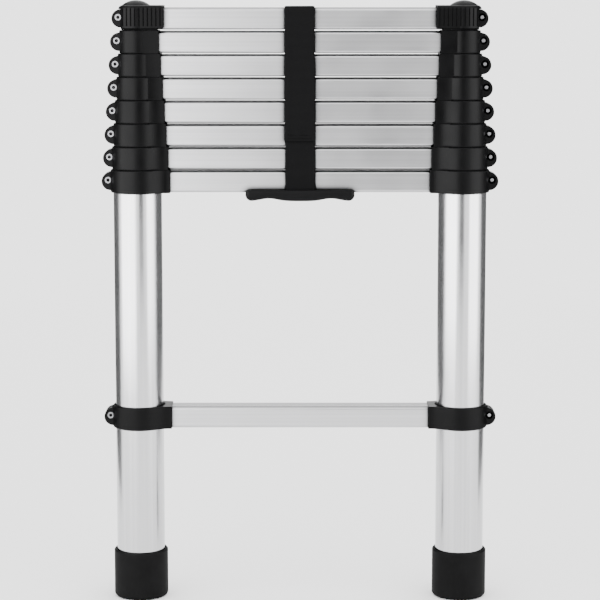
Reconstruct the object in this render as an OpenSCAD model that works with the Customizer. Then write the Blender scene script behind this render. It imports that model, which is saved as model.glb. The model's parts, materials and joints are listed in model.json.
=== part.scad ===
// Telescoping ladder with nine rungs, drawn closed.
// Frame: +Z up along the stiles, +X to the right, -Y towards the climber.
// The origin is on the floor, halfway between the two feet.

/* [Stiles] */
// Distance between the axes of the two stiles
stile_spacing = 392; // [370:2:420]
// Outside diameter of the largest, lowest tube
tube_od = 58.5; // [57:0.5:60]
// Drop in outside diameter from one tube to the next
tube_step = 4; // [4:0.1:4.2]
// Wall thickness of every tube
tube_wall = 1.3; // [1.2:0.05:1.4]
// Length of each sliding tube
tube_length = 385; // [370:5:400]

/* [Rungs] */
// Height from one rung to the next with the ladder extended
rung_spacing = 288; // [284:1:292]
// Height from one rung to the next in the closed stack
stack_pitch = 27.8; // [27.8:0.1:29]
// Underside of the second rung above the floor
stack_base = 500.5; // [495:0.5:510]
// Depth of a rung, front to back
rung_depth = 31; // [30:0.5:32]
// Height of a rung's box section
rung_height = 25; // [24.6:0.1:25]
// Height of the ribbed tread on top of the box section
tread_height = 0.9; // [0.6:0.1:0.9]

/* [Collars] */
// Wall of the collar around its tube
collar_wall = 3.2; // [3:0.1:3.6]
// Height of a collar
collar_height = 27.4; // [27.2:0.1:27.4]
// Reach of the rung socket past the tube's surface
socket_reach = 10.5; // [10:0.5:12]
// Radius of the clamp lug
lug_radius = 10.9; // [10.6:0.1:11.2]
// Thickness of the clamp lug, front to back
lug_depth = 20; // [19:0.5:21]

/* [Feet and caps] */
// Outside diameter of a foot
foot_od = 66; // [65:0.5:70]
// Height of a foot
foot_height = 59; // [50:1:65]
// Rise of the dome on a top cap
dome_rise = 6; // [5:0.5:7]

/* [Strap and handle] */
// Width of the webbing
strap_width = 35.5; // [30:0.5:38]
// Thickness of the webbing
strap_thickness = 1.6; // [1.4:0.1:1.8]
// Lower end of the upper strap on the front
strap_overlap_low = 562; // [540:1:600]
// Upper end of the lower strap
strap_overlap_high = 654; // [640:1:670]
// Length of the carry handle
handle_length = 131; // [120:1:140]
// Depth of the carry handle, front to back
handle_depth = 45; // [44:0.5:48]

/* [Locks] */
// Diameter of a lock bolt
bolt_d = 8; // [7.6:0.1:8.2]
// Gap from a lock bolt's tip to the tube that it locks
bolt_gap = 0.3; // [0.3:0.05:0.5]
// Travel of a lock bolt when it is drawn back
bolt_travel = 6; // [5:0.5:7]

/* [Hidden] */
$fn = 64;
SECTIONS = 8;                    // nested tubes in each stile
RUNGS = SECTIONS + 1;            // one per section, and the fixed low one
SIDES = ["left", "right"];

tube_travel = rung_spacing - stack_pitch;
half_spacing = stile_spacing / 2;
bolt_r = bolt_d / 2;

// Collar, from its own bottom face
collar_drop = 0.7;               // collar's bottom face below the rung's underside
collar_chamfer = 0.8;
neck_steps = 8;                  // facets of the neck's curve from ring to socket
lug_center = 2.6;                // lug's axis outside the tube's surface
screw_center = 5.8;              // screw's axis outside the tube's surface
screw_rise = 1.4;                // screw's axis above the middle of the collar
lip = 3;                         // thickness of the collar's top lip over the tube
socket_wall = 2.5;               // socket wall in front of and behind the rung
socket_gap = 0.15;               // play between the rung and its socket
slit = 1.6;                      // width of the clamp slit
clamp_gap = 0.03;                // collar to the tube that it clamps
plug_size = [18, 20, 15];        // guide block inside the rung: length, depth, height
bolt_hole_r = bolt_r + 0.1;
tube_hole_r = bolt_r + 0.4;
rung_mid = rung_height / 2;      // bolt axis above the rung's underside

// Running gaps between parts that slide
lip_gap = 0.1;
bush_gap = 0.1;
bush_height = 22;
bush_floor = 1.2;

// Fasteners: M5 screws with a hexagon nut
screw_r = 2.5;
head_r = 3.9;
head_h = 2.8;
head_recess = 0.4;               // head's top below the lug's face
hex_key_r = 2.3;
screw_end = 0.7;                 // screw's end below the lug's other face
nut_r = 4.6;
nut_h = 4;
nut_recess = 3.6;
hex_key_depth = 2;
pocket_gap = 0.5;

// Rung extrusion
rung_corner = 3;
rung_wall = 1.4;
rib_count = 5;
rib_width = 3.2;
rib_gap = 2;

// Foot
foot_floor = 7;
foot_edge = 4.5;
foot_gap = 0.15;
foot_groove = [3, 1.5];          // width and depth of a tread groove

// Top cap
cap_wall = 2.4;
cap_drop = 2.2;                  // cap's lower rim above the collar's bottom face
cap_top = 2;                     // top plate over the collar
cap_shoulder = 5;                // radius of the edge round the top
cap_tip = 15.5;                  // reach of the cap past the tube's surface, before its end wall
cap_flat = 1.0;                  // cap's flat side by the clamp lug, outside the tube's surface
cap_groove = [1.5, 0.8];         // width and depth of a grip groove
cap_groove_pitch = 5;

// Release slider under the second rung
tab_size = [18, 11, 4];
slot_play = 0.5;
carriage_size = [24, 16, 9];

// Strap and handle
strap_gap = 0.5;                 // webbing to rung
strap_layer_gap = 0.4;
strap_bend = 2;
handle_floor = 2.4;              // bar between the rung and the webbing below it
handle_drop = 10.5;              // handle's lowest point below the rung
handle_lip = 3;                  // handle's rise up the rung's front and back
handle_play = 0.3;

// Outside and inside radius of the tube of section k
function ro(k) = (tube_od - (k - 1) * tube_step) / 2;
function ri(k) = ro(k) - tube_wall;

// Underside of rung n; rungs 2 to 9 are stacked, and rung 1 is fixed lower down
function rung_z(n) = n == 1 ? stack_base - rung_spacing : stack_base + (n - 2) * stack_pitch;

// Section that carries rung n, and the bottom face of that rung's collar
function section_of(n) = max(1, n - 1);
function collar_z(n) = rung_z(n) - collar_drop;

// Top and bottom end of the tube of section k
function tube_top(k) = collar_z(k + 1) + collar_height - lip;
function tube_bottom(k) = k == 1 ? foot_floor + 0.2 : tube_top(k) - tube_length;

// Draws a part for both stiles. Its own frame has the tube's axis at the origin and the rung
// towards +X, and the right-hand part is the left-hand one turned by half a turn.
module on_stile(side) {
    rotate([0, 0, side == "left" ? 0 : 180])
        translate([-half_spacing, 0, 0])
            children();
}

module on_both_stiles() {
    for (side = SIDES)
        on_stile(side) children();
}

module along_x(x, z) {
    translate([x, 0, z]) rotate([0, 90, 0]) children();
}

// ---- Stile tubes --------------------------------------------------------------------------

module lock_hole(k, z) {
    along_x(ro(k) - 2 * tube_wall, z) cylinder(r = tube_hole_r, h = 4 * tube_wall);
}

module stile_tube(k) {
    difference() {
        translate([0, 0, tube_bottom(k)])
            cylinder(r = ro(k), h = tube_top(k) - tube_bottom(k));
        translate([0, 0, tube_bottom(k) - 1])
            cylinder(r = ri(k), h = tube_top(k) - tube_bottom(k) + 2);
        if (k < SECTIONS)
            lock_hole(k, rung_z(k + 1) + rung_mid);      // for the bolt of its own rung
        if (k > 1)
            lock_hole(k, rung_z(k) + rung_mid - tube_travel);  // where that bolt locks it
    }
}

module stile_tubes(k) {
    color("silver") on_both_stiles() stile_tube(k);
}

// ---- Rungs --------------------------------------------------------------------------------

module rounded_bar(w, h, r) {
    square([w - 2 * r, h], center = true);
    square([w, h - 2 * r], center = true);
    for (sx = [-1, 1], sy = [-1, 1])
        translate([sx * (w / 2 - r), sy * (h / 2 - r)]) circle(r = r);
}

module rung_outline() {
    tread_width = rib_count * rib_width + (rib_count - 1) * rib_gap;
    rounded_bar(rung_depth, rung_height, rung_corner);
    for (i = [0 : rib_count - 1])
        translate([-tread_width / 2 + i * (rib_width + rib_gap), rung_height / 2 - 1])
            square([rib_width, tread_height + 1]);
}

module rung_section() {
    difference() {
        rung_outline();
        rounded_bar(rung_depth - 2 * rung_wall, rung_height - 2 * rung_wall,
                    rung_corner - rung_wall);
    }
}

// Half-length of rung n, up to the back of its socket
function rung_half(n) = half_spacing - ro(section_of(n)) - 3.2;

module rung_bar(n) {
    translate([-rung_half(n), 0, rung_z(n) + rung_mid])
        rotate([90, 0, 90])
            linear_extrude(height = 2 * rung_half(n)) rung_section();
}

// X of the middle of the release tab, in the stile's own frame
function tab_x() = ro(1) + socket_reach + 18;

module tab_slot() {
    translate([tab_x() - tab_size[0] / 2 - slot_play, -tab_size[1] / 2 - slot_play,
               rung_z(2) - 1])
        cube([tab_size[0] + bolt_travel + 2 * slot_play, tab_size[1] + 2 * slot_play,
              rung_wall + 2]);
}

module rung(n) {
    color("gainsboro")
        difference() {
            rung_bar(n);
            if (n == 2)
                on_both_stiles() tab_slot();
        }
}

// ---- Collars ------------------------------------------------------------------------------

module collar_ring(r) {
    rotate_extrude()
        polygon([[0, 0], [r - collar_chamfer, 0], [r, collar_chamfer],
                 [r, collar_height - collar_chamfer],
                 [r - collar_chamfer, collar_height], [0, collar_height]]);
}

// Half-width of the neck at the fraction t of its run, on a curve that leaves the ring at width
// from and slope, and ends level at width to
function neck_width(t, from, to, drop) =
    from + (to - from) * (3 * t * t - 2 * t * t * t) - drop * t * (1 - t) * (1 - t);

// Plan of the neck that joins the ring to the rung's socket
module neck_plan(k) {
    rc = ro(k) + collar_wall;
    half = rung_depth / 2 + socket_wall;
    tip = ro(k) + socket_reach;
    meet_x = min(0.6 * rc, rc * cos(asin(min(0.98, half / rc))) - 1);
    meet_y = max(half, sqrt(rc * rc - meet_x * meet_x) - 0.02);
    run = tip - 2 - meet_x;
    drop = min(run * meet_x / meet_y, 2.5 * (meet_y - half));
    front = [for (i = [0 : neck_steps])
        [meet_x + run * i / neck_steps, neck_width(i / neck_steps, meet_y, half, drop)]];
    back = [for (i = [neck_steps : -1 : 0]) [front[i][0], -front[i][1]]];
    polygon(concat([[0, half]], front, [[tip, half], [tip, -half]], back, [[0, -half]]));
}

module socket_cavity(k) {
    x = ro(k) + 3;
    half = rung_depth / 2 + socket_gap;
    translate([x, -half, collar_drop - socket_gap])
        cube([socket_reach, 2 * half, rung_height + tread_height + 2 * socket_gap]);
}

module clamp_lug(k) {
    translate([-ro(k) - lug_center, 0, collar_height / 2])
        rotate([90, 0, 0])
            cylinder(r = lug_radius, h = lug_depth, center = true);
}

// Moves to the axis of the clamp screw of section k, with its head towards -Y
module at_screw(k) {
    translate([-ro(k) - screw_center, 0, collar_height / 2 + screw_rise])
        rotate([90, 0, 0])
            children();
}

// Screw hole, head seat at the front and nut pocket at the back of the lug
module lug_holes(k) {
    at_screw(k) {
        cylinder(r = screw_r + 0.2, h = lug_depth + 2, center = true);
        translate([0, 0, lug_depth / 2 - head_h - head_recess])
            cylinder(r = head_r + pocket_gap, h = head_h + 5);
        translate([0, 0, -lug_depth / 2 - 5])
            cylinder(r = nut_r + 0.2, h = nut_h + nut_recess + 5);
    }
}

module collar(n) {
    k = section_of(n);
    plain = n == 1;                      // clamps round the tube, with no lip and no lock
    top = n == RUNGS;                    // closed over the end of the smallest tube
    difference() {
        union() {
            difference() {
                union() {
                    collar_ring(ro(k) + collar_wall);
                    linear_extrude(height = collar_height) neck_plan(k);
                    clamp_lug(k);
                }
                socket_cavity(k);
            }
            translate([ro(k) + 1, -plug_size[1] / 2,
                       collar_drop + rung_mid - plug_size[2] / 2])
                cube([plug_size[0] + 2, plug_size[1], plug_size[2]]);
        }
        translate([0, 0, -1])
            cylinder(r = ro(k) + clamp_gap,
                     h = plain ? collar_height + 2 : collar_height - lip + 1);
        if (!plain && !top)
            cylinder(r = ro(k + 1) + lip_gap, h = collar_height + 1);
        if (!plain && !top)
            along_x(0, collar_drop + rung_mid)
                cylinder(r = bolt_hole_r, h = ro(k) + plug_size[0] + 10);
        translate([-ro(k) - lug_center - lug_radius - 1, -slit / 2, -1])
            cube([lug_center + lug_radius + 4, slit, collar_height + 2]);
        lug_holes(k);
    }
}

module collars(n) {
    color("#262626") on_both_stiles() translate([0, 0, collar_z(n)]) collar(n);
}

// ---- Fasteners ----------------------------------------------------------------------------

// Screw and nut, with their axis along Z and the head's seat in a lug centred on the origin
module clamp_screw() {
    face = lug_depth / 2;
    head_top = face - head_recess;
    difference() {
        union() {
            translate([0, 0, head_top - head_h]) cylinder(r = head_r, h = head_h);
            translate([0, 0, screw_end + 0.6 - face])
                cylinder(r = screw_r, h = head_top - head_h - screw_end - 0.6 + face);
            translate([0, 0, screw_end - face])
                cylinder(r1 = screw_r - 0.6, r2 = screw_r, h = 0.6);
        }
        translate([0, 0, head_top - hex_key_depth]) cylinder(r = hex_key_r, h = 3, $fn = 6);
    }
    difference() {
        translate([0, 0, nut_recess - face]) cylinder(r = nut_r, h = nut_h, $fn = 6);
        translate([0, 0, -face]) cylinder(r = screw_r + 0.05, h = lug_depth);
    }
}

module clamp_screws(k) {
    fitted = k == 1 ? [1, 2] : [k + 1];
    color("lightgray")
        for (n = fitted)
            on_both_stiles()
                translate([0, 0, collar_z(n)]) at_screw(k) clamp_screw();
}

// ---- Glide bushes -------------------------------------------------------------------------

// Ring on the lower end of a sliding tube, with a lip under the tube's edge
module glide_bush(k) {
    translate([0, 0, tube_bottom(k) - bush_floor])
        difference() {
            cylinder(r = ri(k - 1) - bush_gap, h = bush_height);
            translate([0, 0, bush_floor]) cylinder(r = ro(k), h = bush_height);
            translate([0, 0, -1]) cylinder(r = ri(k) - 1, h = bush_height);
        }
}

module glide_bushes(k) {
    color("ivory") on_both_stiles() glide_bush(k);
}

// ---- Locks --------------------------------------------------------------------------------

// Bolt in the end of rung n, with its tip just clear of the tube inside
module bolt(n) {
    k = section_of(n);
    tip = ro(k + 1) + bolt_gap;
    seat = ro(k) + 3 + plug_size[0] + 0.4;
    along_x(tip, rung_z(n) + rung_mid) cylinder(r = bolt_r, h = seat + 10 - tip);
    along_x(seat, rung_z(n) + rung_mid) cylinder(r = bolt_r + 2.5, h = 3);
}

module lock_bolt(side, n) {
    color("darkgray") on_stile(side) bolt(n);
}

// The second rung's bolt carries the thumb tab that draws it back
module release_slider(side) {
    seat = ro(1) + 3 + plug_size[0] + 0.4;
    carriage_z = rung_z(2) + rung_wall + 0.6;
    color("dimgray") on_stile(side) {
        difference() {
            union() {
                bolt(2);
                translate([seat + 1, -carriage_size[1] / 2, carriage_z])
                    cube([carriage_size[0], carriage_size[1], carriage_size[2] + 4]);
                translate([tab_x() - tab_size[0] / 2, -tab_size[1] / 2, rung_z(2)])
                    cube([tab_size[0], tab_size[1], tab_size[2]]);
            }
            for (i = [-2 : 2])
                translate([tab_x() + 3 * i - 0.5, -tab_size[1], rung_z(2) - 1])
                    cube([1, 2 * tab_size[1], 1.7]);
        }
    }
}

// ---- Feet and top caps --------------------------------------------------------------------

module foot_shell() {
    r = foot_od / 2;
    rotate_extrude()
        difference() {
            union() {
                square([r - foot_edge, foot_height]);
                translate([0, foot_edge]) square([r, foot_height - foot_edge - 1.5]);
                translate([r - foot_edge, foot_edge]) circle(r = foot_edge);
                polygon([[0, foot_height - 2], [r, foot_height - 2], [r, foot_height - 1.5],
                         [r - 1.2, foot_height], [0, foot_height]]);
            }
            translate([-foot_od, -1]) square([foot_od, foot_height + 2]);
        }
}

module foot() {
    difference() {
        foot_shell();
        translate([0, 0, foot_floor]) cylinder(r = ro(1) + foot_gap, h = foot_height);
        translate([0, 0, foot_height - 1.2])
            cylinder(r1 = ro(1) + foot_gap, r2 = ro(1) + 1.6, h = 1.3);
        for (i = [-2 : 2])
            translate([i * 9 - foot_groove[0] / 2, -foot_od / 2, -1])
                cube([foot_groove[0], foot_od, 1 + foot_groove[1]]);
    }
}

module rubber_feet() {
    color("#1e1e1e") on_both_stiles() foot();
}

// Half-width of the cap's block over the rung's socket, and radius of its round part
cap_half = rung_depth / 2 + socket_wall + cap_wall;
cap_r = cap_half + 0.8;
cap_reach = ro(SECTIONS) + cap_tip + cap_wall;

// Plan of a top cap, made smaller all round by inset
module cap_plan(inset) {
    circle(r = cap_r - inset);
    translate([0, inset - cap_half]) square([cap_reach - inset, 2 * (cap_half - inset)]);
}

// Half of the cap's upright section, with a round shoulder
module cap_profile(half, h) {
    square([half, h - cap_shoulder]);
    square([half - cap_shoulder, h]);
    intersection() {
        translate([half - cap_shoulder, h - cap_shoulder]) circle(r = cap_shoulder);
        square([half, h]);
    }
}

module cap_body(h) {
    rotate_extrude() cap_profile(cap_r, h);
    rotate([90, 0, 90])
        linear_extrude(height = cap_reach) {
            cap_profile(cap_half, h);
            mirror([1, 0]) cap_profile(cap_half, h);
        }
}

module cap_grooves() {
    difference() {
        for (i = [-3 : 6])
            translate([i * cap_groove_pitch - cap_groove[0] / 2, -50])
                square([cap_groove[0], 100]);
        cap_plan(cap_groove[1]);
    }
}

module top_cap() {
    k = SECTIONS;
    play = 0.2;
    rim = 4;                                  // plain band above and below the grooves
    cap_height = collar_height - cap_drop + cap_top;
    body_half = rung_depth / 2 + socket_wall + play;
    lug_top = collar_height / 2 - cap_drop + lug_radius + play;
    difference() {
        union() {
            cap_body(cap_height);
            dome(cap_height);
        }
        translate([0, 0, rim - 1.5])
            linear_extrude(height = cap_height - rim - 1) cap_grooves();
        translate([0, 0, -1])
            cylinder(r = ro(k) + collar_wall + play, h = cap_height - cap_top + 1 + play);
        translate([0, -body_half, -1])
            cube([ro(k) + socket_reach + play, 2 * body_half, cap_height - cap_top + 1 + play]);
        // the rung runs on under the cap's end wall
        translate([0, -rung_depth / 2 - play, -1])
            cube([60, rung_depth + 2 * play,
                  1 + collar_drop - cap_drop + rung_height + tread_height + play]);
        // way in for the clamp lug, with a flat side that leaves its screw clear
        translate([-60, -lug_depth / 2 - play, -1])
            cube([60, lug_depth + 2 * play, lug_top + 1]);
        translate([-60 - ro(k) - cap_flat, -50, -1]) cube([60, 100, lug_top + 1]);
    }
}

// Low spherical dome on the cap's flat top
module dome(z) {
    base = cap_r - cap_shoulder + 0.6;
    ball = (base * base + dome_rise * dome_rise) / (2 * dome_rise);
    intersection() {
        translate([0, 0, z + dome_rise - ball]) sphere(r = ball);
        translate([0, 0, z - 1]) cylinder(r = base, h = dome_rise + 2);
    }
}

module top_caps() {
    color("#202020")
        on_both_stiles() translate([0, 0, collar_z(RUNGS) + cap_drop]) top_cap();
}

// ---- Strap and carry handle ---------------------------------------------------------------

// Outline in the Y-Z plane of a loop with round corners, as a filled shape
module loop_plan(half_depth, low, high) {
    translate([0, (low + high) / 2])
        rounded_bar(2 * half_depth, high - low, strap_bend + 1);
}

// A band of webbing round the rungs, cut off above or below
module webbing(half_depth, low, high, keep_from, keep_to) {
    rotate([90, 0, 90])
        linear_extrude(height = strap_width, center = true)
            intersection() {
                difference() {
                    loop_plan(half_depth + strap_thickness, low - strap_thickness,
                              high + strap_thickness);
                    loop_plan(half_depth, low, high);
                }
                translate([-100, keep_from]) square([200, keep_to - keep_from]);
            }
}

strap_inner = rung_depth / 2 + strap_gap;

module strap_lower() {
    low = rung_z(2) - handle_play - handle_floor - 0.2;
    color("#161616")
        webbing(strap_inner, low, 800, 400, strap_overlap_high);
}

module strap_upper() {
    inner = strap_inner + strap_thickness + strap_layer_gap;
    high = rung_z(RUNGS) + rung_height + tread_height + 0.3;
    color("#161616")
        webbing(inner, 400, high, strap_overlap_low, 800);
}

// Front outline of the handle: a bar with swept ends and two finger hollows under it
module handle_outline() {
    half = handle_length / 2;
    end_r = 6.5;
    hollow_r = 60;
    top = handle_lip;
    difference() {
        union() {
            translate([-half + end_r, -handle_drop + 2])
                square([handle_length - 2 * end_r, handle_drop - 2 + top]);
            for (side = [-1, 1])
                translate([side * (half - end_r), -handle_drop + end_r]) circle(r = end_r);
            for (side = [-1, 1])
                translate([side * (half - end_r) - end_r, -handle_drop + end_r])
                    square([2 * end_r, handle_drop - end_r + 0.5]);
            intersection() {
                translate([0, -handle_drop + hollow_r]) circle(r = hollow_r);
                translate([-24, -handle_drop]) square([48, 6]);
            }
        }
        for (side = [-1, 1])
            translate([side * 38, -handle_drop + 3 - hollow_r]) circle(r = hollow_r);
    }
}

module carry_handle() {
    inner = strap_inner + strap_thickness + handle_play;
    bar_edge = strap_inner - strap_bend - 1;     // the webbing bends round the bar's edges
    z = rung_z(2);
    color("#2b2b2b")
        difference() {
            translate([0, 0, z]) rotate([90, 0, 0])
                linear_extrude(height = handle_depth, center = true) handle_outline();
            // seat for the rung
            translate([-handle_length, -inner, z - handle_play])
                cube([2 * handle_length, 2 * inner, 20]);
            // way through for the webbing
            translate([-strap_width / 2 - 1, -inner, z - handle_play - handle_floor - 2.4])
                cube([strap_width + 2, 2 * inner, 2.4]);
            for (turn = [0, 180])
                rotate([0, 0, turn])
                    translate([-strap_width / 2 - 1, bar_edge, z - handle_play - handle_floor - 2.4])
                        cube([strap_width + 2, inner - bar_edge, 20]);
        }
}

// ---- Nodes --------------------------------------------------------------------------------

for (k = [1 : SECTIONS])
    stile_tubes(k);
for (n = [1 : RUNGS])
    rung(n);
for (n = [1 : RUNGS])
    collars(n);
for (k = [1 : SECTIONS])
    clamp_screws(k);
for (k = [2 : SECTIONS])
    glide_bushes(k);
for (side = SIDES)
    release_slider(side);
for (side = SIDES)
    for (n = [3 : SECTIONS])
        lock_bolt(side, n);
rubber_feet();
top_caps();
strap_upper();
strap_lower();
carry_handle();
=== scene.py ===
"""Looks of the telescoping ladder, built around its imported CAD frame."""

import json
import math

import bmesh
import bpy
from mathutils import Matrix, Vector, noise

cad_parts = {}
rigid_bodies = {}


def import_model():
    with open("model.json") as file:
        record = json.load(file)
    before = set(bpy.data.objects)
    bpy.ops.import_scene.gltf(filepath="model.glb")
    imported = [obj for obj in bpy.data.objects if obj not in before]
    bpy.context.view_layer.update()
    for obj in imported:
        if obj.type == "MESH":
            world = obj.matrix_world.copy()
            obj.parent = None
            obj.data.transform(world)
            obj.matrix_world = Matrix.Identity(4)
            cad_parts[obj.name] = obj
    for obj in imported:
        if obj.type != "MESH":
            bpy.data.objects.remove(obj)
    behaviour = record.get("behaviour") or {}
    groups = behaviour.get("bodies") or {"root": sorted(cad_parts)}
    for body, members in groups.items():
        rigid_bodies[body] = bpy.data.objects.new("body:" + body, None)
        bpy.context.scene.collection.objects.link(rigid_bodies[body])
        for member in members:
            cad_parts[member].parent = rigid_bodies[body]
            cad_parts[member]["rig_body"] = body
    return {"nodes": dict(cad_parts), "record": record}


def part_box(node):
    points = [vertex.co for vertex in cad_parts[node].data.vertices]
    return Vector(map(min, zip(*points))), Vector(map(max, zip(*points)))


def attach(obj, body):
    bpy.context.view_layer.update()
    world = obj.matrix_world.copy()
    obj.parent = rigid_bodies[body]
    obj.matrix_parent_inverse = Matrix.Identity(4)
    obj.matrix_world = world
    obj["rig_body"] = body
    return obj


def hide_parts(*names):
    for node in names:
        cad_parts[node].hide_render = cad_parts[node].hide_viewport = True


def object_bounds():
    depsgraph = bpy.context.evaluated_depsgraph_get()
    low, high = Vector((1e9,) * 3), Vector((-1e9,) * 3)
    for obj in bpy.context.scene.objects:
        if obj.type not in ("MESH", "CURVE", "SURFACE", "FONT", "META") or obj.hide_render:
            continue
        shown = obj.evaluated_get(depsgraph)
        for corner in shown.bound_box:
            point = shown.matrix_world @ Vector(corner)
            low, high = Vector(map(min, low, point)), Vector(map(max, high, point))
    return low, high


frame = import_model()
cad_low, cad_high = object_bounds()

MM = 0.001
SIDES = (-1, 1)

RELIEF_EDGE_SAMPLES = 6
GAP_SAMPLES = 8


# ---- Material helpers ---------------------------------------------------------------------

def new_material(name, color, metallic=0.0, roughness=0.5):
    """A new Principled material, its node tree and its shader node."""
    material = bpy.data.materials.new(name)
    material.use_nodes = True
    shader = material.node_tree.nodes["Principled BSDF"]
    shader.inputs["Base Color"].default_value = (*color, 1.0)
    shader.inputs["Metallic"].default_value = metallic
    shader.inputs["Roughness"].default_value = roughness
    return material, material.node_tree, shader


def object_noise(tree, scale, detail=2.0, stretch=(1, 1, 1)):
    """Noise in the object's own metres. scale is cells per metre, and stretch multiplies it by
    axis."""
    place = tree.nodes.new("ShaderNodeTexCoord")
    mapping = tree.nodes.new("ShaderNodeMapping")
    mapping.inputs["Scale"].default_value = stretch
    texture = tree.nodes.new("ShaderNodeTexNoise")
    texture.inputs["Scale"].default_value = scale
    texture.inputs["Detail"].default_value = detail
    tree.links.new(place.outputs["Object"], mapping.inputs["Vector"])
    tree.links.new(mapping.outputs["Vector"], texture.inputs["Vector"])
    return texture.outputs["Fac"]


def to_range(tree, value, low, high, start=0.3, end=0.7):
    """value, which runs from start to end, spread over low to high. The default start and end
    suit noise."""
    node = tree.nodes.new("ShaderNodeMapRange")
    node.inputs["From Min"].default_value = start
    node.inputs["From Max"].default_value = end
    node.inputs["To Min"].default_value = low
    node.inputs["To Max"].default_value = high
    tree.links.new(value, node.inputs["Value"])
    return node.outputs["Result"]


def tint(tree, value, dark, light, start=0.3, end=0.7):
    """Colour from dark to light as value goes from start to end. light is a colour or a socket."""
    mix = tree.nodes.new("ShaderNodeMix")
    mix.data_type = "RGBA"
    mix.inputs["A"].default_value = (*dark, 1.0)
    if isinstance(light, bpy.types.NodeSocket):
        tree.links.new(light, mix.inputs["B"])
    else:
        mix.inputs["B"].default_value = (*light, 1.0)
    tree.links.new(to_range(tree, value, 0.0, 1.0, start, end), mix.inputs["Factor"])
    return mix.outputs["Result"]


def darker(color, share):
    return [share * c for c in color]


def openness(tree, distance):
    """How open the surface is, from 0 deep in a gap to 1, looking that many metres around."""
    around = tree.nodes.new("ShaderNodeAmbientOcclusion")
    around.samples = GAP_SAMPLES
    around.inputs["Distance"].default_value = distance
    return around.outputs["AO"]


def relief(tree, shader, height, depth, edge=0.0):
    """Bump of depth metres, over edges rounded by edge metres."""
    bump = tree.nodes.new("ShaderNodeBump")
    bump.inputs["Distance"].default_value = depth
    tree.links.new(height, bump.inputs["Height"])
    if edge:
        bevel = tree.nodes.new("ShaderNodeBevel")
        bevel.samples = RELIEF_EDGE_SAMPLES
        bevel.inputs["Radius"].default_value = edge
        tree.links.new(bevel.outputs["Normal"], bump.inputs["Normal"])
    tree.links.new(bump.outputs["Normal"], shader.inputs["Normal"])


# ---- Materials ----------------------------------------------------------------------------

# Noise scales, in cells per metre
METAL_GRAIN = 420
METAL_CLOUDS = 22
PLASTIC_WEAR = 45
RUBBER_BLOOM = 30
RUBBER_GRIT = 1600
STEEL_GRIT = 2600

ALONG_X = (0.004, 1, 1)            # stretches of a grain that runs along one axis
ALONG_Z = (1, 1, 0.004)

PLASTIC_SPECULAR = 0.07
RUBBER_SPECULAR = 0.05
WEBBING_SPECULAR = 0.05


def drawn_aluminium(name, color, stretch, roughness, gap, edge=0.0):
    """Anodised aluminium with its grain along the axis where stretch is small. Painted shade
    darkens its colour in gaps about as wide as gap metres."""
    material, tree, shader = new_material(name, color, metallic=1.0, roughness=roughness)
    grain = object_noise(tree, METAL_GRAIN, detail=5.0, stretch=stretch)
    clouds = object_noise(tree, METAL_CLOUDS)
    grained_colour = tint(tree, grain, darker(color, 0.86), color)
    # painted shade: the colour turns near black where gaps close the surface in
    painted_gap_shade = tint(tree, openness(tree, gap), darker(color, 0.01), grained_colour, 0.62, 0.95)
    tree.links.new(painted_gap_shade, shader.inputs["Base Color"])
    tree.links.new(to_range(tree, clouds, roughness - 0.02, roughness + 0.02),
                   shader.inputs["Roughness"])
    relief(tree, shader, grain, 0.005 * MM, edge)
    return material


def moulded_plastic(name, color, roughness, edge, grain_size=0.5 * MM, depth=0.02 * MM):
    """Moulded plastic with a fine spark-eroded texture and soft edges, matt in its gaps."""
    material, tree, shader = new_material(name, color, roughness=roughness)
    shader.inputs["Specular IOR Level"].default_value = PLASTIC_SPECULAR
    wear = object_noise(tree, PLASTIC_WEAR, detail=5.0)
    worn = to_range(tree, wear, roughness - 0.05, roughness + 0.07)
    matt_in_gaps = tree.nodes.new("ShaderNodeMix")
    matt_in_gaps.inputs["A"].default_value = 1.0
    tree.links.new(worn, matt_in_gaps.inputs["B"])
    tree.links.new(to_range(tree, openness(tree, 3 * MM), 0.0, 1.0, 0.75, 0.98),
                   matt_in_gaps.inputs["Factor"])
    tree.links.new(matt_in_gaps.outputs["Result"], shader.inputs["Roughness"])
    relief(tree, shader, object_noise(tree, 1 / grain_size), depth, edge)
    return material


def rubber(name):
    """Black rubber with a faint grey bloom and a gritty skin."""
    bloomed = (0.0048, 0.0048, 0.005)
    material, tree, shader = new_material(name, bloomed, roughness=0.6)
    shader.inputs["Specular IOR Level"].default_value = RUBBER_SPECULAR
    bloom = object_noise(tree, RUBBER_BLOOM, detail=6.0)
    tree.links.new(tint(tree, bloom, darker(bloomed, 0.5), bloomed), shader.inputs["Base Color"])
    relief(tree, shader, object_noise(tree, RUBBER_GRIT, detail=3.0), 0.03 * MM, edge=0.5 * MM)
    return material


def plated_steel(name):
    """Zinc-plated steel, with painted shade darkening its recesses."""
    plating = (0.25, 0.25, 0.26)
    material, tree, shader = new_material(name, plating, metallic=1.0, roughness=0.28)
    # painted shade: near-black colour deep in recesses such as the hex sockets
    shade = tint(tree, openness(tree, 2.5 * MM), darker(plating, 0.008), plating, 0.80, 0.97)
    tree.links.new(shade, shader.inputs["Base Color"])
    relief(tree, shader, object_noise(tree, STEEL_GRIT), 0.006 * MM, edge=0.25 * MM)
    return material


def weave_wave(tree, direction, pitch):
    """A wave with crests pitch metres apart along U, which is "X", or V, which is "Y"."""
    uv = tree.nodes.new("ShaderNodeUVMap")
    wave = tree.nodes.new("ShaderNodeTexWave")
    wave.bands_direction = direction
    wave.inputs["Scale"].default_value = math.pi / 10 / pitch
    wave.inputs["Distortion"].default_value = 0.6
    wave.inputs["Detail Scale"].default_value = 2.0
    tree.links.new(uv.outputs["UV"], wave.inputs["Vector"])
    return wave.outputs["Fac"]


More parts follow.
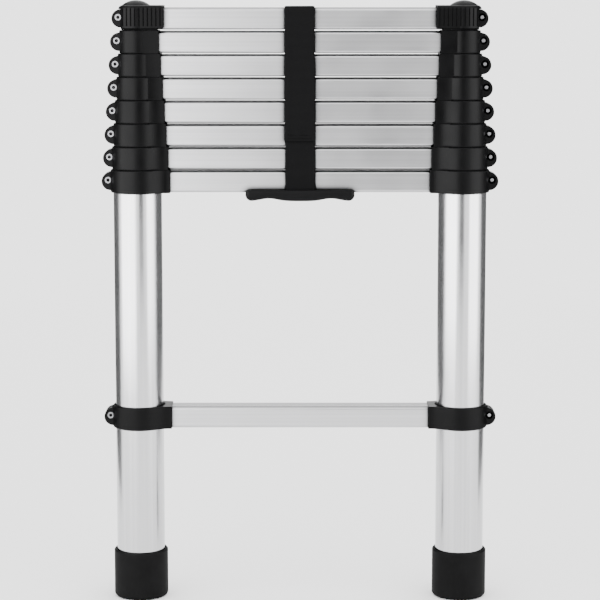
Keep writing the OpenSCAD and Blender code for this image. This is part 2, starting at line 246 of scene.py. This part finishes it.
def woven_webbing(name, rib_pitch, yarn_pitch):
    """Black polyester webbing. Its UV map is in metres, U across and V along."""
    # crest is the webbing's own colour; the second colour is painted shade for the weave's hollows
    crest, painted_valley_shade = (0.0045, 0.0045, 0.0049), (0.0005, 0.0005, 0.0006)
    yarn_share = 0.35
    material, tree, shader = new_material(name, crest, roughness=0.72)
    shader.inputs["Specular IOR Level"].default_value = WEBBING_SPECULAR
    ribs = weave_wave(tree, "Y", rib_pitch)
    yarns = weave_wave(tree, "X", yarn_pitch)
    weave = tree.nodes.new("ShaderNodeMath")
    weave.operation = "MULTIPLY_ADD"
    tree.links.new(yarns, weave.inputs[0])
    weave.inputs[1].default_value = yarn_share
    tree.links.new(ribs, weave.inputs[2])
    # painted shade: darker colour in the hollows between the ribs
    tree.links.new(tint(tree, ribs, painted_valley_shade, crest), shader.inputs["Base Color"])
    relief(tree, shader, weave.outputs["Value"], 0.18 * MM)
    return material


BLACK = (0.0018, 0.0018, 0.0020)
MATERIALS = {
    "tube_aluminium": drawn_aluminium("drawn tube", (0.56, 0.56, 0.57), ALONG_Z, 0.22,
                                      gap=1.5 * MM),
    "rung_aluminium": drawn_aluminium("extruded rung", (0.52, 0.52, 0.53), ALONG_X, 0.34,
                                      gap=9 * MM, edge=0.3 * MM),
    "collar_plastic": moulded_plastic("collar plastic", BLACK, 0.36, 0.9 * MM),
    "cap_plastic": moulded_plastic("cap plastic", BLACK, 0.38, 0.4 * MM),
    "foot_rubber": rubber("foot rubber"),
    "screw_steel": plated_steel("plated steel"),
    "bolt_steel": plated_steel("turned steel"),
    "slider_plastic": moulded_plastic("slider plastic", (0.03, 0.03, 0.032), 0.45, 0.3 * MM),
    "bush_plastic": moulded_plastic("bush plastic", (0.62, 0.61, 0.57), 0.35, 0.2 * MM),
    "webbing": woven_webbing("black webbing", 1.3 * MM, 1.0 * MM),
    "handle_plastic": moulded_plastic("handle plastic", (0.0024, 0.0024, 0.0027), 0.46, 0.5 * MM,
                                      grain_size=0.7 * MM, depth=0.035 * MM),
}


def finish_cad_nodes():
    for part in frame["record"]["subparts"]:
        node = frame["nodes"][part["node"]]
        for place in node.material_slots:
            place.material = MATERIALS[part["material_slot"]]


# ---- Mesh helpers -------------------------------------------------------------------------

def add_piece(name, points, faces, slot, body, replaced=(), uvs=None):
    """A mesh piece that takes its material from a record slot and rides on a body."""
    mesh = bpy.data.meshes.new(name)
    mesh.from_pydata(points, [], faces)
    if uvs:
        layer = mesh.uv_layers.new(name="UVMap")
        for loop in mesh.loops:
            layer.data[loop.index].uv = uvs[loop.vertex_index]
    build = bmesh.new()
    build.from_mesh(mesh)
    bmesh.ops.recalc_face_normals(build, faces=build.faces)
    build.to_mesh(mesh)
    build.free()
    mesh.shade_smooth()
    piece = bpy.data.objects.new(name, mesh)
    bpy.context.scene.collection.objects.link(piece)
    mesh.materials.append(MATERIALS[slot])
    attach(piece, body)
    if replaced:
        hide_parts(*replaced)
    return piece


def loft(rings):
    """Points and faces of a closed skin over rings that all have the same number of points."""
    count = len(rings[0])
    points = [p for ring in rings for p in ring]
    faces = []
    for i in range(len(rings) - 1):
        for j in range(count):
            a, b = i * count + j, i * count + (j + 1) % count
            faces.append((a, b, b + count, a + count))
    faces.append(tuple(range(count)))
    faces.append(tuple(range(len(points) - count, len(points))))
    return points, faces


# ---- Strap --------------------------------------------------------------------------------

STRAP_THICKNESS = 1.5 * MM
STRAP_INSET = 0.1 * MM             # how far the webbing stays inside its CAD solid's box
BEND = 3.0 * MM                    # radius of the strap's bends, half-way through it
STRAP_STEP = 0.9 * MM              # spacing of the mesh along the webbing
STRAP_COLUMNS = 22                 # spaces of the mesh across the webbing
PUCKER_PLACE = 9 * MM              # from the strap's end to its pucker
PUCKER_SPREAD = 5 * MM
SWAY = 0.25 * MM                   # how far the strap's middle wanders to the sides
SWAY_WAVES = 28                    # per metre of strap
NARROWING = 0.2 * MM
NARROWING_WAVES = 60
STITCH_MARGIN = 3 * MM             # from a row of stitches to the webbing's sides
STITCH_RISE = 0.22 * MM
THREAD_RADIUS = 0.28 * MM


def strap_path(depth, closed_z, free_z):
    """Y-Z points and outward normals of a U of webbing, with its closed end at closed_z."""
    up = 1 if closed_z > free_z else -1
    corner_z = closed_z - up * BEND
    straight = abs(corner_z - free_z)
    quarter = BEND * math.pi / 2
    flat = 2 * (depth - BEND)
    total = 2 * straight + 2 * quarter + flat
    route = []
    for i in range(round(total / STRAP_STEP) + 1):
        s = min(i * STRAP_STEP, total)
        mirrored = s > total / 2
        t = total - s if mirrored else s
        if t < straight:
            y, z, ny, nz = -depth, free_z + up * t, -1.0, 0.0
        elif t < straight + quarter:
            turn = (t - straight) / BEND
            ny, nz = -math.cos(turn), up * math.sin(turn)
            y, z = -depth + BEND + BEND * ny, corner_z + BEND * nz
        else:
            y, z, ny, nz = -depth + BEND + (t - straight - quarter), closed_z, 0.0, up
        flip = -1 if mirrored else 1
        route.append((s, flip * y, z, flip * ny, nz))
    return route, total


def selvedge(u):
    """The share of its thickness that the webbing keeps at u, which is -1 to 1 across it."""
    start, thinning = 0.93, 0.55
    return 1 - thinning * max(0.0, (abs(u) - start) / (1 - start)) ** 2


def webbing_piece(name, node, closed, shift, pucker_height):
    """Woven band in place of a plain CAD strap. closed is which end the band turns round at."""
    low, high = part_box(node)
    half = (high.x - low.x) / 2
    middle = (high.x + low.x) / 2 + shift
    margin = STRAP_THICKNESS / 2 + STRAP_INSET
    closed_z, free_z = (high.z - margin, low.z) if closed == "top" else (low.z + margin, high.z)
    route, total = strap_path(high.y - margin, closed_z, free_z)
    rings, uvs = [], []
    for s, y, z, ny, nz in route:
        from_end = min(s, total - s)
        pucker = pucker_height * math.exp(-((from_end - PUCKER_PLACE) / PUCKER_SPREAD) ** 2)
        sway = SWAY * noise.noise(Vector((s * SWAY_WAVES, shift * 900, 3.7)))
        narrowing = NARROWING * noise.noise(Vector((s * NARROWING_WAVES, 7.1, shift * 700)))
        ring = []
        for side in (1, -1):
            for j in range(STRAP_COLUMNS + 1):
                u = (2 * j / STRAP_COLUMNS - 1) * side
                ripple = pucker * math.cos(u * 7.5 + 0.8)
                lift = side * STRAP_THICKNESS / 2 * selvedge(u) + ripple
                across = u * (half - narrowing)
                ring.append((middle + sway + across, y + ny * lift, z + nz * lift))
                uvs.append((u * half, s))
        rings.append(ring)
    points, faces = loft(rings)
    body = frame["nodes"][node]["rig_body"]
    return add_piece(name, points, faces, "webbing", body, (node,), uvs)


def stitch(start, length, front, z):
    """Points and faces of one raised stitch that runs length along X."""
    steps, sides = 5, 8
    rings = []
    for k in range(steps):
        t = k / (steps - 1)
        y = front + STRAP_INSET - STITCH_RISE * math.sin(math.pi * t)
        radius = THREAD_RADIUS * (0.45 + 0.55 * math.sin(math.pi * (0.12 + 0.76 * t)))
        angles = [math.tau * n / sides for n in range(sides)]
        rings.append([(start + t * length, y + radius * math.cos(a), z + radius * math.sin(a))
                      for a in angles])
    return loft(rings)


def stitch_row(name, node, z, count):
    """A row of thread across the front of the webbing, as short raised stitches."""
    low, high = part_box(node)
    body = frame["nodes"][node]["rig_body"]
    pitch = (high.x - low.x - 2 * STITCH_MARGIN) / count
    points, faces = [], []
    for i in range(count):
        start = low.x + STITCH_MARGIN + (i + 0.15) * pitch
        more, more_faces = stitch(start, 0.7 * pitch, low.y, z)
        faces += [tuple(len(points) + v for v in face) for face in more_faces]
        points += more
    return add_piece(name, points, faces, "webbing", body,
                     uvs=[(p[0], p[2]) for p in points])


# ---- Carry handle -------------------------------------------------------------------------

FINGER_HOLLOW = 3.2 * MM           # depth of each of the two hollows under the grip
HOLLOW_PLACE = 0.57                # shares of the handle's half length
HOLLOW_SPREAD = 0.22
HANDLE_END = 8 * MM                # length of each rounded end, seen from the front
HANDLE_END_DROP = 3 * MM           # how far an end hangs below the rung
LIP_END = 5 * MM                   # length over which the lips taper at the ends
LIP_TAPER = 2 * MM
LIP_BEVEL = 0.8 * MM
GRIP_CORNER = 5.5 * MM
CORNER_STEPS = 8
HANDLE_STATIONS = 121


def handle_bottom(x, half, drop):
    """Depth of the handle's underside below the rung at x: two finger hollows, round ends."""
    hollow = FINGER_HOLLOW * math.exp(
        -((abs(x) - HOLLOW_PLACE * half) / (HOLLOW_SPREAD * half)) ** 2)
    end = max(0.0, (abs(x) - (half - HANDLE_END)) / HANDLE_END)
    grip = drop - hollow - HANDLE_END_DROP
    return grip * math.sqrt(max(0.0, 1 - end ** 2)) + HANDLE_END_DROP


def handle_ring(x, half, low, high, strap_front, rung_bottom):
    """U-shaped section round the rung's lower edges and the strap, with a rounded outside."""
    bottom = rung_bottom - handle_bottom(x, half, rung_bottom - low.z)
    end = max(0.0, (abs(x) - (half - LIP_END)) / LIP_END)
    outer = high.y - LIP_TAPER * end ** 2
    lip = rung_bottom + (high.z - rung_bottom) * (1 - end ** 3)
    corner = min(GRIP_CORNER, 0.8 * (lip - bottom))
    inner = strap_front + 0.5 * MM
    seat = rung_bottom - 0.4 * MM
    angles = [math.pi / 2 * n / CORNER_STEPS for n in range(CORNER_STEPS + 1)]
    section = []
    for side in SIDES:
        arc = [(outer - corner + corner * math.cos(a), bottom + corner - corner * math.sin(a))
               for a in angles]
        top = [(inner, seat), (inner, lip - 0.5 * MM), (inner + 0.5 * MM, lip),
               (outer - LIP_BEVEL, lip), (outer, lip - LIP_BEVEL)]
        half_section = [(side * y, z) for y, z in top + arc]
        section += half_section if side > 0 else half_section[::-1]
    return [(x, y, z) for y, z in section]


def carry_handle():
    low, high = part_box("carry_handle")
    rung_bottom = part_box("rung_2")[0].z
    strap_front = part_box("strap_lower")[1].y
    half = (high.x - low.x) / 2
    rings = []
    for i in range(HANDLE_STATIONS):
        x = -0.9995 * half * math.cos(math.pi * i / (HANDLE_STATIONS - 1))
        rings.append(handle_ring(x, half, low, high, strap_front, rung_bottom))
    points, faces = loft(rings)
    return add_piece("moulded_carry_handle", points, faces, "handle_plastic", "base",
                     ("carry_handle",))


# ---- Stage --------------------------------------------------------------------------------

def stage_card(name, corners, shade, roughness):
    """A flat four-cornered grey card that isn't part of the ladder."""
    mesh = bpy.data.meshes.new(name)
    mesh.from_pydata(corners, [], [(0, 1, 2, 3)])
    mesh.materials.append(new_material(name, (shade, shade, shade), roughness=roughness)[0])
    card = bpy.data.objects.new(name, mesh)
    bpy.context.scene.collection.objects.link(card)
    return card


def floor():
    """Plain pale floor out to the horizon, a hair below the feet."""
    reach, level = 120.0, -0.1 * MM
    corners = [(x * reach, y * reach, level) for x, y in ((-1, -1), (1, -1), (1, 1), (-1, 1))]
    stage_card("floor", corners, 0.95, 0.9)


def area_light(name, place, aim, size, power):
    """Large rectangular lamp that only reflections see, so that the floor stays even."""
    data = bpy.data.lights.new(name, "AREA")
    data.shape = "RECTANGLE"
    data.size, data.size_y = size
    data.energy = power
    lamp = bpy.data.objects.new(name, data)
    bpy.context.scene.collection.objects.link(lamp)
    lamp.location = place
    lamp.rotation_euler = (Vector(aim) - Vector(place)).to_track_quat("-Z", "Y").to_euler()
    lamp.visible_camera = False
    lamp.visible_diffuse = False


def dark_flag(name, start, end, low, high, shade):
    """Upright dark studio card from start to end in plan and from low to high, which only
    reflections see."""
    corners = [(*start, low), (*end, low), (*end, high), (*start, high)]
    flag = stage_card(name, corners, shade, 1.0)
    flag.visible_camera = False
    flag.visible_diffuse = False
    flag.visible_shadow = False


def studio_light():
    """White surroundings, two soft panels for the tubes' highlights, and dark cards for the grey
    edges and middle lines of the tubes."""
    world = bpy.data.worlds.new("studio")
    world.use_nodes = True
    world.node_tree.nodes["Background"].inputs["Color"].default_value = (1.0, 1.0, 1.0, 1.0)
    world.node_tree.nodes["Background"].inputs["Strength"].default_value = 2.9
    bpy.context.scene.world = world
    area_light("left_panel", place=(-0.87, -0.65, 0.8), aim=(-0.2, 0.05, 0.7),
               size=(1.45, 1.4), power=42)
    area_light("right_panel", place=(1.07, -0.54, 0.8), aim=(0.3, 0.11, 0.7),
               size=(1.0, 1.4), power=24)
    for side, name in zip(SIDES, ("flag_left", "flag_right")):
        dark_flag(name, (side * 0.72, 0.05), (side * 0.72, 2.4), low=0.01, high=1.7, shade=0.06)
    dark_flag("flag_front", (-0.06, -0.9), (0.30, -0.9), low=0.26, high=1.1, shade=0.01)


def camera(distance=2.6, eye_height=0.75, shift=-0.05):
    """Camera in front of the ladder, level with its top, looking slightly down. Its lens and its
    pitch put the ladder's highest and lowest edges at the frame's."""
    foot_edge = 0.85 * cad_low.y       # the feet's rounded rims meet the floor behind their fronts
    top = math.atan2(cad_high.z - eye_height, distance)
    bottom = math.atan2(eye_height - cad_low.z, distance + foot_edge)
    flattest, steepest = 0.0, bottom
    for _ in range(40):
        pitch = (flattest + steepest) / 2
        focal = 1 / (math.tan(top + pitch) + math.tan(bottom - pitch))
        if math.tan(top + pitch) * focal - shift < 1 / 2:
            flattest = pitch
        else:
            steepest = pitch
    data = bpy.data.cameras.new("camera")
    data.sensor_width = 36.0
    data.lens = data.sensor_width * focal
    data.shift_y = shift
    eye = bpy.data.objects.new("camera", data)
    bpy.context.scene.collection.objects.link(eye)
    eye.location = (0, -distance, eye_height)
    eye.rotation_euler = (math.pi / 2 - pitch, 0, 0)
    bpy.context.scene.camera = eye


# ---- Scene --------------------------------------------------------------------------------

finish_cad_nodes()
webbing_piece("strap_upper_webbing", "strap_upper", "top", -0.4 * MM, 0.35 * MM)
webbing_piece("strap_lower_webbing", "strap_lower", "bottom", 0.5 * MM, 0.0)
upper_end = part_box("strap_upper")[0].z
for row, gap in enumerate((3.5 * MM, 7.5 * MM)):
    stitch_row(f"strap_stitches_{row + 1}", "strap_upper", upper_end + gap, 11)
carry_handle()
floor()
studio_light()
camera()
